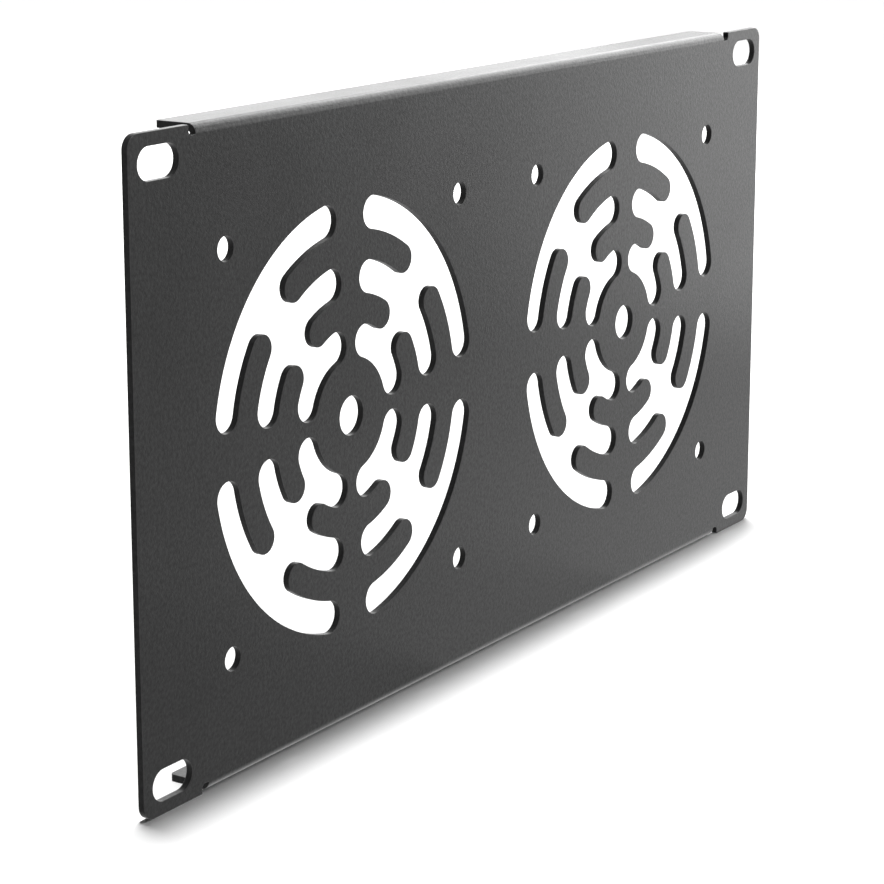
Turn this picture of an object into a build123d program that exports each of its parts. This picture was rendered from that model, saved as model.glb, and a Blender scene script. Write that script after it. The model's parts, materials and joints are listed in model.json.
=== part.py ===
from build123d import *
from math import asin, cos, degrees, radians, sin
import os

# Fan panel for a 10-inch rack, three units high, with places for two 92 mm fans: one sheet of steel,
# cut and folded. X runs along the width, the front faces -Y and +Z is up. The origin is the centre of the
# rack slots on the rear face of the plate, the face that the ears lay against the rack's rails.

# Sheet and folds
sheet_thickness = 1.5
bend_inner_radius = 0.5
flange_depth = 10.0            # from the front face to a flange's free edge
flange_corner_radius = 1.0

# Front plate with its two ears
panel_width = 254.0
panel_height = 132.5
ear_width = 17.75
ear_corner_radius = 3.0
relief_width = 2.1             # notch between an ear and the end of a flange
relief_corner_radius = 1.0

# Rack slots, inset so that they stand 236.525 mm and 120.65 mm apart
rack_slot_length = 12.0
rack_slot_width = 6.5
rack_slot_inset_x = 8.7375
rack_slot_inset_z = 5.925

# Fan places
fan_spacing = 115.0
fan_hole_spacing = 82.5
fan_hole_diameter = 5.0

# Grille in front of each fan: a cross of spokes with rows of fingers, round a hub
grille_diameter = 92.0
ring_count = 3
ring_slot_width = 7.0
finger_width = 6.3
inner_spoke_width = 3.2        # at the innermost ring slot
outer_spoke_width = 9.6        # at the outermost ring slot
channel_angle = 14.4           # between facing finger tips, seen from the hub
hub_hole_diameter = 8.4

# Sizes that follow from the ones above
front_face = -sheet_thickness
flange_edge = front_face + flange_depth
plate_top = panel_height / 2
bend_outer_radius = bend_inner_radius + sheet_thickness
bend_line = plate_top - bend_outer_radius
ear_gap = panel_width - 2 * ear_width
flange_length = ear_gap - 2 * relief_width
rack_slot_spacing_x = panel_width - 2 * rack_slot_inset_x
rack_slot_spacing_z = panel_height - 2 * rack_slot_inset_z
ring_pitch = ring_slot_width + finger_width
innermost_ring_radius = (grille_diameter - ring_slot_width) / 2 - (ring_count - 1) * ring_pitch
spoke_growth = (outer_spoke_width - inner_spoke_width) / (ring_count - 1)


def polar_point(radius, angle):
    """Point at a radius and an angle in degrees round the middle of a fan."""
    return (radius * cos(radians(angle)), radius * sin(radians(angle)))


def ring_radius(ring):
    """Radius of a ring slot's centre line, counted from the hub."""
    return innermost_ring_radius + ring * ring_pitch


def slot_end_angle(ring):
    """Angle from a spoke's axis to the middle of a ring slot's round end."""
    half_spoke = (inner_spoke_width + ring * spoke_growth) / 2
    return degrees(asin((half_spoke + ring_slot_width / 2) / ring_radius(ring)))


def finger_tip_angle(finger_radius):
    """Angle from a spoke's axis to the middle of a finger's round tip."""
    tip_to_diagonal = finger_radius * sin(radians(channel_angle / 2)) + finger_width / 2
    return 45 - degrees(asin(tip_to_diagonal / finger_radius))


# One quarter of a grille: ring slots that a channel on the diagonal joins into one opening
with BuildSketch() as grille_quarter:
    for ring in range(ring_count):
        end_angle = slot_end_angle(ring)
        slot_arc = CenterArc((0, 0), ring_radius(ring), end_angle, 90 - 2 * end_angle, mode=Mode.PRIVATE)
        SlotArc(slot_arc, ring_slot_width)
    for ring in range(ring_count - 1):
        finger_radius = ring_radius(ring) + ring_pitch / 2
        tip_angles = (finger_tip_angle(finger_radius), 90 - finger_tip_angle(finger_radius))
        with BuildLine():
            for radius in (ring_radius(ring), ring_radius(ring + 1)):
                CenterArc((0, 0), radius, tip_angles[0], tip_angles[1] - tip_angles[0])
            for angle in tip_angles:
                Line(polar_point(ring_radius(ring), angle), polar_point(ring_radius(ring + 1), angle))
        make_face()
        with Locations(*[polar_point(finger_radius, angle) for angle in tip_angles]):
            Circle(finger_width / 2, mode=Mode.SUBTRACT)

with BuildPart() as fan_panel:
    # Flat plate and ears, cut back to the bend lines between the ears
    with BuildSketch(Plane.XZ):
        RectangleRounded(panel_width, panel_height, ear_corner_radius)
        with GridLocations(0, panel_height, 1, 2):
            RectangleRounded(ear_gap, 2 * bend_outer_radius, relief_corner_radius, mode=Mode.SUBTRACT)
    extrude(amount=sheet_thickness)

    # Flanges folded to the rear along the bend lines, clear of the ears by the width of the relief
    with BuildSketch(Plane.YZ):
        with BuildLine():
            bend = CenterArc((front_face + bend_outer_radius, bend_line), bend_outer_radius, 90, 90)
            Line((flange_edge, plate_top), bend @ 0)
            offset(amount=sheet_thickness, side=Side.LEFT)
        make_face()
        mirror(about=Plane.XZ)
    extrude(amount=flange_length / 2, both=True)
    fillet(fan_panel.edges().filter_by(Axis.Z).group_by(Axis.Y)[-1], flange_corner_radius)

    # Slots for the rack's screws
    with BuildSketch(Plane.XZ):
        with GridLocations(rack_slot_spacing_x, rack_slot_spacing_z, 2, 2):
            SlotOverall(rack_slot_length, rack_slot_width)
    extrude(amount=sheet_thickness, mode=Mode.SUBTRACT)

    # Grille, hub hole and four screw holes for each fan
    with BuildSketch(Plane.XZ):
        with GridLocations(fan_spacing, 0, 2, 1):
            with PolarLocations(0, 4):
                add(grille_quarter.sketch)
            Circle(hub_hole_diameter / 2)
            with GridLocations(fan_hole_spacing, fan_hole_spacing, 2, 2):
                Circle(fan_hole_diameter / 2)
    extrude(amount=sheet_thickness, mode=Mode.SUBTRACT)

fan_panel.part.label = "fan_panel"

os.makedirs("parts", exist_ok=True)
export_step(fan_panel.part, "parts/fan_panel.step")
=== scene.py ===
import json
from math import asin, ceil, cos, degrees, pi, radians, sin

import bmesh
import bpy
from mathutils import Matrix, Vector
from mathutils.geometry import delaunay_2d_cdt


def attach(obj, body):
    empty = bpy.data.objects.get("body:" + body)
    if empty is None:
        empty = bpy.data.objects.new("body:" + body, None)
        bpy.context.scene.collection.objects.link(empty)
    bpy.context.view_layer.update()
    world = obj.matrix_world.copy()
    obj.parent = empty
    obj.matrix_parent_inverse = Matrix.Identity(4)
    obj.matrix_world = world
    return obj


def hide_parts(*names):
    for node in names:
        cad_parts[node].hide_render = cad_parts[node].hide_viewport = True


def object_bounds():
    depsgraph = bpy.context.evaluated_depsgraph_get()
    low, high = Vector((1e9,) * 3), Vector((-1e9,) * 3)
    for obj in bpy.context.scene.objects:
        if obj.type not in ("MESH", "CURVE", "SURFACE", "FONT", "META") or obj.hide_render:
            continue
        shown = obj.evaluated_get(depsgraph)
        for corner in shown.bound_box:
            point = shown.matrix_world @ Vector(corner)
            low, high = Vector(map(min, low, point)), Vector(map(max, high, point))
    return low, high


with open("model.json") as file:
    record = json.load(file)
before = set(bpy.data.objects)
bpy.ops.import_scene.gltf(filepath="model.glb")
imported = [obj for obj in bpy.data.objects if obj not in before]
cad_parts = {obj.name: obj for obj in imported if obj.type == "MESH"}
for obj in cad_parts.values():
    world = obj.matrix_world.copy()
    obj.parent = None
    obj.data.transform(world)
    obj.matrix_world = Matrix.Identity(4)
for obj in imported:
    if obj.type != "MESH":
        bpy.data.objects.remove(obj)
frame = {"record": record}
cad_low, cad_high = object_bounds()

# Fan panel for a 10-inch rack: one sheet of steel, cut, folded and powder coated. The sheet is drawn flat,
# given its thickness and the soft edges of the coat, and then folded as a press brake folds it.
# Lengths of the panel are in millimetres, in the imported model's frame, until the mesh is made.
MM = 0.001

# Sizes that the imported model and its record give
mounts = {mount["name"]: mount for mount in frame["record"]["mounts"]}
rack_slots = mounts["rack_slots"]["dims"]
fan_holes = mounts["left_fan_holes"]["dims"]
fan_centres = [mounts[name]["pos_m"][0] / MM for name in ("left_fan_holes", "right_fan_holes")]
half_width = cad_high.x / MM
half_height = cad_high.z / MM
front_face = cad_low.y / MM
flange_edge = cad_high.y / MM
sheet_thickness = -front_face

# Ears, reliefs and folds
ear_width = 17.75
ear_corner_radius = 3.0
ear_inner_corner_radius = 0.3
relief_width = 2.1
relief_corner_radius = 1.0
relief_root_radius = 0.2
flange_corner_radius = 1.0
bend_inner_radius = 0.5
bend_steps = 12

# Grille in front of each fan
grille_diameter = 92.0
ring_count = 3
ring_slot_width = 7.0
finger_width = 6.3
inner_spoke_width = 3.2
outer_spoke_width = 9.6
channel_angle = 14.4
hub_hole_diameter = 8.4

# Coat-rounded edges, and how finely arcs are drawn
edge_radius = 0.12
edge_steps = 3
arc_step_angle = 9.0
arc_step_length = 1.2
point_tolerance = 1e-4
inside_outlines = 1            # the kind of filling that keeps the triangles inside the outlines

# Powder coat: a larger scale makes a finer noise, and the depth of the grain is in metres
peel_scale = 1250
grain_scale = 3200
mottle_scale = 28
usual_noise = (0.3, 0.7)       # range in which most of a noise lies
grain_depth = 0.00005
dark_black = (0.005, 0.005, 0.0052, 1)
pale_black = (0.010, 0.010, 0.0104, 1)
# Grey mixed into the rounded rims: partly edge wear, partly a painted highlight standing in for light caught
# by the edges
rim_wear_and_highlight_grey = (0.5, 0.5, 0.5, 1)
coat_ior = 1.34
coat_roughness = (0.28, 0.34)
coat_sheen = (0.42, 0.58)
cut_edge_sheen = 0.5           # share of the sheen that a cut edge keeps

# Height of the lamps that lie on the floor, in metres
floor_card_lift = 0.00015

# Sizes that follow from the ones above
bend_outer_radius = bend_inner_radius + sheet_thickness
bend_centre = front_face + bend_outer_radius
bend_line = half_height - bend_outer_radius
bend_length = (bend_inner_radius + sheet_thickness / 2) * pi / 2
blank_edge = bend_line + bend_length + flange_edge - bend_centre
ear_start = half_width - ear_width
flange_end = ear_start - relief_width
relief_middle = ear_start - relief_width / 2
ring_pitch = ring_slot_width + finger_width
innermost_ring_radius = (grille_diameter - ring_slot_width) / 2 - (ring_count - 1) * ring_pitch
spoke_growth = (outer_spoke_width - inner_spoke_width) / (ring_count - 1)


def arc(centre, radius, start, end):
    """Points along an arc from one angle to another, in degrees."""
    sweep = abs(end - start)
    steps = ceil(max(sweep / arc_step_angle, radius * radians(sweep) / arc_step_length))
    angles = [radians(start + (end - start) * step / steps) for step in range(steps + 1)]
    return [Vector((centre[0] + radius * cos(angle), centre[1] + radius * sin(angle))) for angle in angles]


def polar(radius, angle):
    """Point at a radius and an angle in degrees round the middle of a fan."""
    return (radius * cos(radians(angle)), radius * sin(radians(angle)))


def rounded_loop(corners):
    """Closed loop through right-angled corners (x, z, radius), each drawn as an arc of its radius."""
    points = []
    for index, (x, z, radius) in enumerate(corners):
        corner = Vector((x, z))
        to_last = (Vector(corners[index - 1][:2]) - corner).normalized()
        to_next = (Vector(corners[(index + 1) % len(corners)][:2]) - corner).normalized()
        centre = corner + radius * (to_last + to_next)
        for unit in arc((0, 0), 1, 0, 90):
            points.append(centre - radius * (unit.x * to_next + unit.y * to_last))
    return points


def blank_outline():
    """Outline of the flat blank: two ears, four reliefs and the two flanges, unfolded."""
    quarter = [
        (half_width, half_height, ear_corner_radius),
        (ear_start, half_height, ear_inner_corner_radius),
        (ear_start, bend_line, relief_corner_radius),
        (flange_end, bend_line, relief_root_radius),
        (flange_end, blank_edge, flange_corner_radius),
    ]
    upper = quarter + [(-x, z, radius) for x, z, radius in reversed(quarter)]
    lower = [(x, -z, radius) for x, z, radius in reversed(upper)]
    return rounded_loop(upper + lower)


def circle(centre, radius):
    """Closed loop round a hole."""
    return arc(centre, radius, 0, 360)[:-1]


def level_slot(centre, length, radius):
    """Closed loop of a slot that lies level."""
    reach = length / 2 - radius
    right = arc((centre[0] + reach, centre[1]), radius, -90, 90)
    left = arc((centre[0] - reach, centre[1]), radius, 90, 270)
    return right + left


def ring_radius(ring):
    """Radius of a ring slot's centre line, counted from the hub."""
    return innermost_ring_radius + ring * ring_pitch


def slot_end_angle(ring):
    """Angle from a spoke's axis to the middle of a ring slot's round end."""
    half_spoke = (inner_spoke_width + ring * spoke_growth) / 2
    return degrees(asin((half_spoke + ring_slot_width / 2) / ring_radius(ring)))


def finger_tip_angle(finger_radius):
    """Angle from a spoke's axis to the middle of a finger's round tip."""
    tip_to_diagonal = finger_radius * sin(radians(channel_angle / 2)) + finger_width / 2
    return 45 - degrees(asin(tip_to_diagonal / finger_radius))


def grille_quarter():
    """Closed loop of one quarter of a grille, between the spokes at 0 and 90 degrees."""
    half_slot = ring_slot_width / 2
    side = []
    angle = 45
    for ring in reversed(range(ring_count)):
        radius = ring_radius(ring)
        end_angle = slot_end_angle(ring)
        finger_radius = radius - ring_pitch / 2
        next_angle = finger_tip_angle(finger_radius) if ring > 0 else 45
        side += arc((0, 0), radius + half_slot, angle, end_angle)
        side += arc(polar(radius, end_angle), half_slot, end_angle, end_angle - 180)[1:]
        side += arc((0, 0), radius - half_slot, end_angle, next_angle)[1:]
        if ring > 0:
            tip = polar(finger_radius, next_angle)
            side += arc(tip, finger_width / 2, next_angle, next_angle + 180)[1:-1]
        angle = next_angle
    other_side = [Vector((point.y, point.x)) for point in reversed(side)]
    return side + other_side[1:-1]


def grille(centre_x):
    """Loops of one fan's place: four quarters of the grille, the hub hole and the screw holes."""
    quarter = grille_quarter()
    loops = [circle((centre_x, 0), hub_hole_diameter / 2)]
    for turn in range(4):
        loops.append([Vector((centre_x + point.x, point.y)) for point in quarter])
        quarter = [Vector((-point.y, point.x)) for point in quarter]
    reach_x = fan_holes["spacing_x_mm"] / 2
    reach_z = fan_holes["spacing_y_mm"] / 2
    for x in (centre_x - reach_x, centre_x + reach_x):
        for z in (-reach_z, reach_z):
            loops.append(circle((x, z), fan_holes["hole_r_mm"]))
    return loops


def rack_slot_loops():
    """Loops of the four slots in the ears."""
    reach_x = rack_slots["spacing_x_mm"] / 2
    reach_z = rack_slots["spacing_y_mm"] / 2
    centres = [(x, z) for x in (-reach_x, reach_x) for z in (-reach_z, reach_z)]
    return [level_slot(centre, rack_slots["slot_length_mm"], rack_slots["hole_r_mm"]) for centre in centres]


def turned(loop, material_inside):
    """The loop without double points, run so that the sheet lies on its left."""
    points = [point for index, point in enumerate(loop) if (point - loop[index - 1]).length > point_tolerance]
    area = sum(points[i - 1].cross(points[i]) for i in range(len(points)))
    return points if (area > 0) == material_inside else points[::-1]


def edge_profile():
    """Steps round the edge, front to rear: inset, depth, and the normal's outward and rearward parts."""
    front = []
    for step in range(edge_steps + 1):
        angle = radians(90 * step / edge_steps)
        inset = edge_radius * (1 - sin(angle))
        front.append((inset, edge_radius * (1 - cos(angle)), sin(angle), -cos(angle)))
    rear = [(inset, sheet_thickness - depth, out, -lean) for inset, depth, out, lean in reversed(front)]
    return front + rear


def loop_normals(loop):
    """Direction out of the sheet at each point of a loop, as long as a corner's mitre needs."""
    normals = []
    for index, point in enumerate(loop):
        before = (point - loop[index - 1]).normalized()
        after = (loop[(index + 1) % len(loop)] - point).normalized()
        out = Vector((before.y + after.y, -before.x - after.x)).normalized()
        mitre = out.dot(Vector((after.y, -after.x)))
        normals.append((out, 1 / mitre))
    return normals


def cap_triangles(rims):
    """Corners of the triangles that fill a flat side of the sheet, between its outer rim and its holes."""
    vertices = []
    outlines = []
    for rim in rims:
        start = len(vertices)
        outlines.append(list(range(start, start + len(rim))))
        vertices += rim
    # The holes' outlines run against the outer one, and the filling wants them all to run the same way
    outlines[1:] = [outline[::-1] for outline in outlines[1:]]
    places = [Vector((vertex.co.x, vertex.co.z)) for vertex in vertices]
    filling = delaunay_2d_cdt(places, [], outlines, inside_outlines, point_tolerance)
    _, _, triangles, sources, _, owners = filling
    # A triangle in a hole lies in two outlines, and one of the sheet only in the outer one
    sheet = [triangle for triangle, owner in zip(triangles, owners) if owner == [0]]
    return [[vertices[sources[corner][0]] for corner in triangle] for triangle in sheet]


def flat_sheet(bm, loops):
    """Sheet with rounded edges round every loop; a vertex keeps its normal and how far it is a cut edge."""
    normal_layer = bm.verts.layers.float_vector.new("flat_normal")
    cut_layer = bm.verts.layers.float.new("cut")
    profile = edge_profile()
    caps = {0: [], len(profile) - 1: []}
    for loop in loops:
        normals = loop_normals(loop)
        rings = []
        for row, (inset, depth, outward, rearward) in enumerate(profile):
            ring = []
            for point, (out, mitre) in zip(loop, normals):
                place = point - inset * mitre * out
                vertex = bm.verts.new((place.x, front_face + depth, place.y))
                vertex[normal_layer] = Vector((out.x * outward, rearward, out.y * outward))
                vertex[cut_layer] = outward * outward
                ring.append(vertex)
            rings.append(ring)
            if row in caps:
                caps[row].append(ring)
        for ring, next_ring in zip(rings, rings[1:]):
            for index in range(len(loop)):
                bm.faces.new((ring[index - 1], ring[index], next_ring[index], next_ring[index - 1]))
    for rims in caps.values():
        for corners in cap_triangles(rims):
            bm.faces.new(corners)
    bmesh.ops.recalc_face_normals(bm, faces=bm.faces)
    return normal_layer


def on_flange(vertex):
    """Whether a vertex of the flat sheet lies past a bend line, on a flange."""
    return abs(vertex.co.z) > bend_line and abs(vertex.co.x) < relief_middle


def fold(bm, normal_layer):
    """Bends both flanges to the rear round the bend lines, and turns the vertex normals with them."""
    for side in (-1, 1):
        for step in range(bend_steps + 1):
            level = side * (bend_line + bend_length * step / bend_steps)
            faces = [face for face in bm.faces if any(map(on_flange, face.verts))]
            edges = dict.fromkeys(edge for face in faces for edge in face.edges)
            bmesh.ops.bisect_plane(
                bm,
                geom=faces + list(edges),
                dist=point_tolerance,
                plane_co=(0, 0, level),
                plane_no=(0, 0, 1),
            )
    for vertex in filter(on_flange, bm.verts):
        side = 1 if vertex.co.z > 0 else -1
        beyond = abs(vertex.co.z) - bend_line
        radius = bend_centre - vertex.co.y
        angle = min(beyond / bend_length, 1) * pi / 2
        straight = max(beyond - bend_length, 0)
        vertex.co.y = bend_centre - radius * cos(angle) + straight
        vertex.co.z = side * (bend_line + radius * sin(angle))
        normal = vertex[normal_layer]
        rearward = normal.y
        upward = side * normal.z
        vertex[normal_layer] = Vector((
            normal.x,
            rearward * cos(angle) + upward * sin(angle),
            side * (upward * cos(angle) - rearward * sin(angle)),
        ))


def fan_panel_piece():
    """The folded panel as one mesh, in metres."""
    loops = [turned(blank_outline(), True)]
    holes = [loop for centre_x in fan_centres for loop in grille(centre_x)] + rack_slot_loops()
    loops += [turned(hole, False) for hole in holes]
    bm = bmesh.new()
    normal_layer = flat_sheet(bm, loops)
    fold(bm, normal_layer)
    bm.verts.index_update()
    normals = [vertex[normal_layer].normalized() for vertex in bm.verts]
    bm.verts.layers.float_vector.remove(normal_layer)
    bmesh.ops.scale(bm, vec=(MM, MM, MM), verts=bm.verts)
    mesh = bpy.data.meshes.new("fan_panel_sheet")
    bm.to_mesh(mesh)
    bm.free()
    mesh.shade_smooth()
    mesh.normals_split_custom_set_from_vertices(normals)
    piece = bpy.data.objects.new("fan_panel_sheet", mesh)
    bpy.context.scene.collection.objects.link(piece)
    return piece


def node(tree, kind, inputs=None, **settings):
    """A shader node with its settings, and its inputs set to values or linked to sockets."""
    made = tree.nodes.new(kind)
    for name, value in settings.items():
        setattr(made, name, value)
    for name, value in (inputs or {}).items():
        if isinstance(value, bpy.types.NodeSocket):
            tree.links.new(value, made.inputs[name])
        else:
            made.inputs[name].default_value = value
    return made


def empty_tree(owner):
    """Node tree of a material or a world, with nothing in it."""
    owner.use_nodes = True
    owner.node_tree.nodes.clear()
    return owner.node_tree


def combined(tree, operation, first, second):
    """Sum, product or the like of two values."""
    return node(tree, "ShaderNodeMath", {0: first, 1: second}, operation=operation).outputs["Value"]


def remapped(tree, value, source, result):
    """A value moved from one range, given by its two ends, to another."""
    return node(tree, "ShaderNodeMapRange", {
        "Value": value,
        "From Min": source[0],
        "From Max": source[1],
        "To Min": result[0],
        "To Max": result[1],
    }).outputs["Result"]


def noise(tree, place, scale, detail, roughness):
    """Noise at each place of the surface, finer with a larger scale."""
    inputs = {"Vector": place, "Scale": scale, "Detail": detail, "Roughness": roughness}
    return node(tree, "ShaderNodeTexNoise", inputs).outputs["Fac"]


def powder_coat():
    """Satin black powder coat: orange peel, a finer grain, soft mottling, dull cut edges, and rims painted
    paler, partly as edge wear and partly as a painted highlight.
    """
    material = bpy.data.materials.new("powder_coat")
    tree = empty_tree(material)
    place = node(tree, "ShaderNodeTexCoord").outputs["Object"]
    peel = noise(tree, place, scale=peel_scale, detail=1.5, roughness=0.5)
    grain = noise(tree, place, scale=grain_scale, detail=2, roughness=0.6)
    mottle = noise(tree, place, scale=mottle_scale, detail=4, roughness=0.55)
    cut = node(tree, "ShaderNodeAttribute", attribute_name="cut").outputs["Fac"]

    relief = combined(tree, "ADD", peel, grain)
    bump = node(tree, "ShaderNodeBump", {"Height": relief, "Strength": 0.6, "Distance": grain_depth})

    shade = combined(tree, "MULTIPLY", mottle, peel)
    colour = node(tree, "ShaderNodeValToRGB", {"Fac": shade})
    darker, paler = colour.color_ramp.elements
    darker.position = 0.12
    darker.color = dark_black
    paler.position = 0.42
    paler.color = pale_black

    # The rims are painted paler with mottled grey: partly edge wear, partly a painted highlight along the
    # rounded edges
    uncut = combined(tree, "SUBTRACT", 1, cut)
    rim = combined(tree, "MULTIPLY", cut, uncut)
    wear_and_painted_highlight = node(tree, "ShaderNodeMix", {
        "Factor": combined(tree, "MULTIPLY", rim, mottle),
        "A": colour.outputs["Color"],
        "B": rim_wear_and_highlight_grey,
    }, data_type="RGBA")

    sheen = remapped(tree, peel, usual_noise, coat_sheen)
    share = remapped(tree, cut, (0, 1), (1, cut_edge_sheen))
    coat = node(tree, "ShaderNodeBsdfPrincipled", {
        "Base Color": wear_and_painted_highlight.outputs["Result"],
        "IOR": coat_ior,
        "Roughness": remapped(tree, mottle, usual_noise, coat_roughness),
        "Specular IOR Level": combined(tree, "MULTIPLY", sheen, share),
        "Normal": bump.outputs["Normal"],
    })
    node(tree, "ShaderNodeOutputMaterial", {"Surface": coat.outputs["BSDF"]})
    return material


def ray_kinds(tree, *kinds):
    """1 for rays of any of these kinds, and 0 for the others."""
    path = node(tree, "ShaderNodeLightPath")
    total = path.outputs[kinds[0]]
    for kind in kinds[1:]:
        total = combined(tree, "MAXIMUM", total, path.outputs[kind])
    return total


def studio_world(ambient):
    """White to the eye, and a low even light on the object."""
    world = bpy.data.worlds.new("studio")
    bpy.context.scene.world = world
    tree = empty_tree(world)
    seen = ray_kinds(tree, "Is Camera Ray", "Is Glossy Ray", "Is Transmission Ray")
    strength = remapped(tree, seen, (0, 1), (ambient, 1))
    light = node(tree, "ShaderNodeBackground", {"Color": (1, 1, 1, 1), "Strength": strength})
    node(tree, "ShaderNodeOutputWorld", {"Surface": light.outputs["Background"]})


def floor_paper():
    """White paper that keeps the shadow, and shows as plain white in reflections."""
    material = bpy.data.materials.new("white_floor")
    tree = empty_tree(material)
    paper = node(tree, "ShaderNodeBsdfDiffuse", {"Color": (0.95, 0.95, 0.95, 1)})
    white = node(tree, "ShaderNodeEmission", {"Strength": 1.0})
    both = node(tree, "ShaderNodeMixShader", {
        0: ray_kinds(tree, "Is Glossy Ray", "Is Transmission Ray"),
        1: paper.outputs["BSDF"],
        2: white.outputs["Emission"],
    })
    node(tree, "ShaderNodeOutputMaterial", {"Surface": both.outputs["Shader"]})
    return material


def studio_floor(size):
    """White floor under the panel."""
    corners = [(-size, -size, 0), (size, -size, 0), (size, size, 0), (-size, size, 0)]
    mesh = bpy.data.meshes.new("floor")
    mesh.from_pydata(corners, [], [(0, 1, 2, 3)])
    mesh.materials.append(floor_paper())
    floor = bpy.data.objects.new("floor", mesh)
    floor.location.z = cad_low.z
    bpy.context.scene.collection.objects.link(floor)


def softbox(name, place, width, height, radiance, target=(0, 0, 0)):
    """Soft lamp of an even brightness, aimed at a point and not seen by the camera itself."""
    lamp = bpy.data.lights.new(name, "AREA")
    lamp.shape = "RECTANGLE"
    lamp.size = width
    lamp.size_y = height
    lamp.energy = radiance * pi * width * height
    box = bpy.data.objects.new(name, lamp)
    box.location = place
    box.rotation_euler = (Vector(target) - Vector(place)).to_track_quat("-Z", "Y").to_euler()
    box.visible_camera = False
    bpy.context.scene.collection.objects.link(box)
    return box


def card(name, place, width, height, radiance, target=(0, 0, 0)):
    """Bright card that the coat mirrors and that lights nothing else."""
    softbox(name, place, width, height, radiance, target).visible_diffuse = False


def floor_card(name, left, right, front, rear, radiance):
    """Card that lies face up just above the floor, between these sides."""
    place = Vector(((left + right) / 2, (front + rear) / 2, cad_low.z + floor_card_lift))
    card(name, place, right - left, rear - front, radiance, target=place + Vector((0, 0, 1)))


def overhead_key(irradiance, spread, lean):
    """Soft lamp from above, leaning to the rear and the right, for a short shadow in front."""
    lamp = bpy.data.lights.new("overhead", "SUN")
    lamp.energy = irradiance
    lamp.angle = radians(spread)
    key = bpy.data.objects.new("overhead", lamp)
    key.rotation_euler = (radians(-lean), radians(lean), 0)
    bpy.context.scene.collection.objects.link(key)


def studio_camera():
    """Camera of the photograph: to the left of the panel, a little above it, with a long lens."""
    lens = bpy.data.cameras.new("camera")
    lens.sensor_width = 36
    lens.lens = 106.33
    lens.shift_y = -0.1
    camera = bpy.data.objects.new("camera", lens)
    camera.location = (-0.48763, -0.30662, 0.12876)
    camera.rotation_euler = (radians(77.627), 0, radians(-56.687))
    bpy.context.scene.collection.objects.link(camera)
    bpy.context.scene.camera = camera


panel = fan_panel_piece()
panel.data.materials.append(powder_coat())
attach(panel, "root")
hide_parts("fan_panel")

studio_world(ambient=0.02)
studio_floor(size=6)
overhead_key(irradiance=3.3, spread=6.6, lean=3.3)
# The top flange mirrors the lamp behind, the top bend those at the side and up high, the front face the card
softbox("behind", place=(0.73, 0.91, 0.3), width=1.0, height=0.7, radiance=1.6)
softbox("side", place=(0.937, 0.065, 0.57), width=0.9, height=0.56, radiance=5.0)
softbox("high", place=(0.75, -0.4, 0.24), width=0.7, height=0.4, radiance=2.3)
card("right", place=(0.34, -0.1, 0.03), width=0.16, height=0.19, radiance=1.84)
# The low part of the front face mirrors the table in front of it, and the bottom bend the strip under itself
floor_card("table", left=0.06, right=0.26, front=-0.1078, rear=-0.0018, radiance=0.58)
floor_card("near", left=-0.02, right=0.34, front=-0.1617, rear=-0.0017, radiance=0.29)
floor_card("under", left=-0.107, right=0.107, front=-0.0022, rear=-0.0002, radiance=0.4)
studio_camera()
bpy.context.scene.view_settings.view_transform = "Standard"
